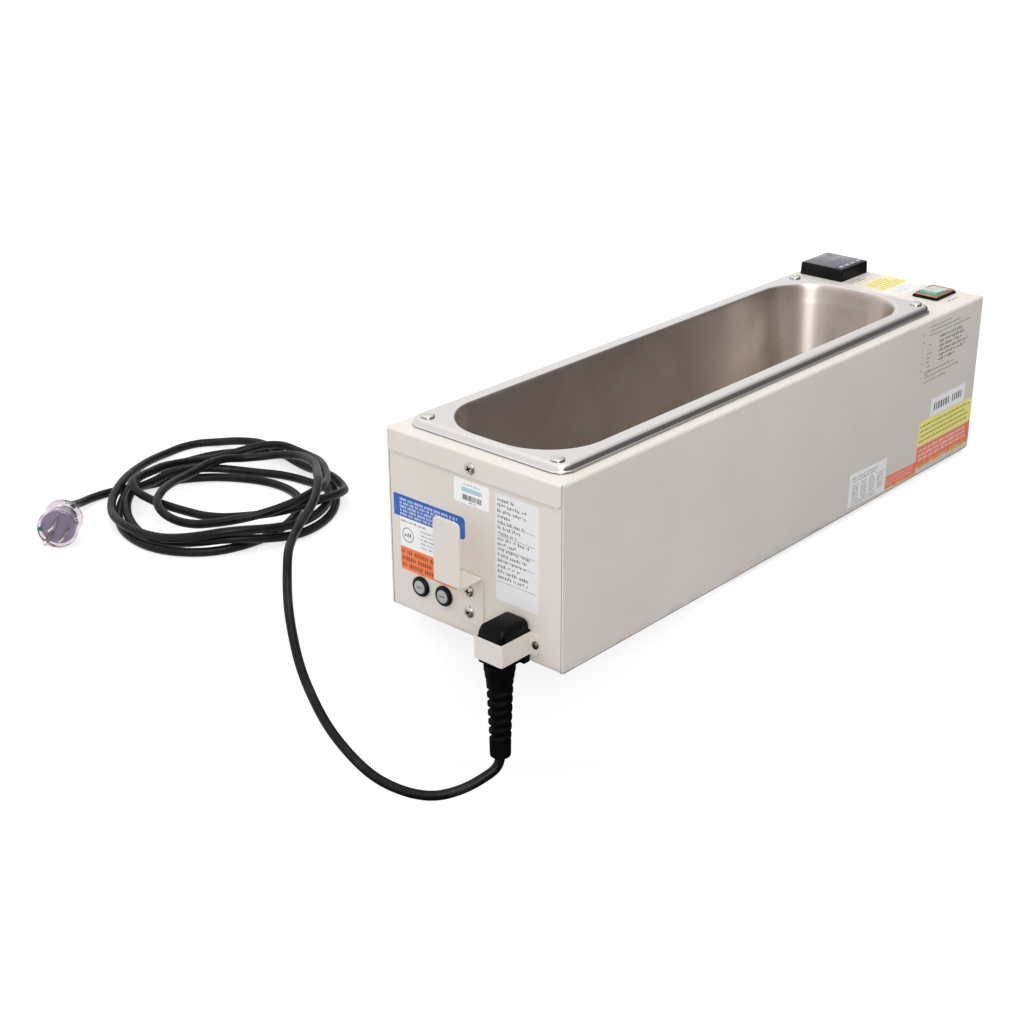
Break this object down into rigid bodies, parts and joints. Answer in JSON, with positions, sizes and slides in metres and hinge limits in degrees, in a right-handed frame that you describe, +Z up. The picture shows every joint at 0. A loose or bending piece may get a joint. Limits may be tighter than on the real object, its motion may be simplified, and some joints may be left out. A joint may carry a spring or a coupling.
{
  "type": "heated paraffin wax bath",
  "caption": "Long heated bath: a drawn stainless basin hung in a painted sheet-metal housing, with a deck controller, rocker switch, end fuses, cord hook and coiled mains cord.",
  "frame": {"origin": "centre of the flat chassis underside; the feet reach 3.5 mm below it and the hanging cord about 110 mm below it", "axes": "+X along the housing from the mains end to the control end, -Y towards the front, +Z up"},
  "size_m": [0.7511, 0.5811, 0.2749],
  "materials": {
    "cream_paint": "fine-textured satin enamel, warm off-white",
    "stainless": "satin drawn stainless steel",
    "bright_screw": "bright nickel-plated",
    "brass": "tinned brass",
    "black_plastic": "moulded black thermoplastic",
    "smoked_window": "smoked clear window",
    "grey_plastic": "moulded grey plastic",
    "switch_skirt": "amber-brown moulded plastic",
    "green_rocker": "green translucent plastic with a pale face",
    "rubber": "soft black rubber",
    "cord_jacket": "black cord jacket, satin",
    "clear_violet": "clear violet-tinted plastic",
    "dark_core": "dark moulded contact carrier",
    "fuse_glass": "glass tube with plated end caps",
    "silicone": "orange silicone rubber",
    "glass_wool": "bonded glass-fibre blanket",
    "nylon": "natural nylon",
    "wire_brown": "insulated wire",
    "wire_blue": "insulated wire",
    "wire_green": "insulated wire",
    "wire_white": "glass-braided heater lead"
  },
  "bodies": {
    "housing": {"basin": "stainless", "basin_gasket": "rubber", "basin_screw_1": "stainless", "basin_screw_2": "stainless", "basin_screw_3": "stainless", "basin_screw_4": "stainless", "chassis_base": "cream_paint", "controller_collar": "black_plastic", "controller_housing": "black_plastic", "controller_window": "smoked_window", "cord_boot": "rubber", "cord_connector": "black_plastic", "cord_hook": "cream_paint", "cord_strap": "cream_paint", "cover_screw_left": "bright_screw", "cover_screw_right": "bright_screw", "earth_stud": "brass", "foot_1": "rubber", "foot_2": "rubber", "foot_3": "rubber", "foot_4": "rubber", "fuse_holder_left": "black_plastic", "fuse_holder_right": "black_plastic", "fuse_nut_left": "bright_screw", "fuse_nut_right": "bright_screw", "heater_mat": "silicone", "heater_relay": "black_plastic", "hook_screw_lower": "bright_screw", "hook_screw_upper": "bright_screw", "housing_cover": "cream_paint", "insulation_blanket": "glass_wool", "limit_thermostat": "black_plastic", "plug_blade_live": "brass", "plug_blade_neutral": "brass", "plug_body": "clear_violet", "plug_core": "dark_core", "plug_earth_pin": "brass", "power_cord": "cord_jacket", "power_inlet": "black_plastic", "strap_screw_left": "bright_screw", "strap_screw_right": "bright_screw", "switch_bezel": "switch_skirt", "switch_housing": "black_plastic", "temperature_probe": "stainless", "terminal_block": "nylon", "wire_earth": "wire_green", "wire_heater": "wire_white", "wire_live": "wire_brown", "wire_neutral": "wire_blue"},
    "rocker": {"switch_rocker": "green_rocker"},
    "key_1": {"controller_key_1": "grey_plastic"},
    "key_2": {"controller_key_2": "grey_plastic"},
    "key_3": {"controller_key_3": "grey_plastic"},
    "key_4": {"controller_key_4": "grey_plastic"},
    "fuse_cartridge_left": {"fuse_left": "fuse_glass"},
    "fuse_cartridge_right": {"fuse_right": "fuse_glass"},
    "bayonet_cap_left": {"fuse_cap_left": "grey_plastic"},
    "bayonet_cap_right": {"fuse_cap_right": "grey_plastic"}
  },
  "joints": [
    {"name": "rocker_tilt", "type": "hinge", "parent": "housing", "child": "rocker", "pos_m": [0.2795, -0.052, 0.1549], "axis": [0, -1, 0], "range_deg": [0, 10]},
    {"name": "key_1_press", "type": "slide", "parent": "housing", "child": "key_1", "axis": [0, 0, -1], "range_m": [0, 0.0006]},
    {"name": "key_2_press", "type": "slide", "parent": "housing", "child": "key_2", "axis": [0, 0, -1], "range_m": [0, 0.0006]},
    {"name": "key_3_press", "type": "slide", "parent": "housing", "child": "key_3", "axis": [0, 0, -1], "range_m": [0, 0.0006]},
    {"name": "key_4_press", "type": "slide", "parent": "housing", "child": "key_4", "axis": [0, 0, -1], "range_m": [0, 0.0006]},
    {"name": "fuse_left_draw", "type": "slide", "parent": "housing", "child": "fuse_cartridge_left", "axis": [-1, 0, 0], "range_m": [0, 0.036]},
    {"name": "fuse_left_unlock", "type": "hinge", "parent": "fuse_cartridge_left", "child": "bayonet_cap_left", "pos_m": [-0.305, 0.056, 0.026], "axis": [-1, 0, 0], "range_deg": [0, 90]},
    {"name": "fuse_right_draw", "type": "slide", "parent": "housing", "child": "fuse_cartridge_right", "axis": [-1, 0, 0], "range_m": [0, 0.036]},
    {"name": "fuse_right_unlock", "type": "hinge", "parent": "fuse_cartridge_right", "child": "bayonet_cap_right", "pos_m": [-0.305, 0.031, 0.026], "axis": [-1, 0, 0], "range_deg": [0, 90]}
  ]
}
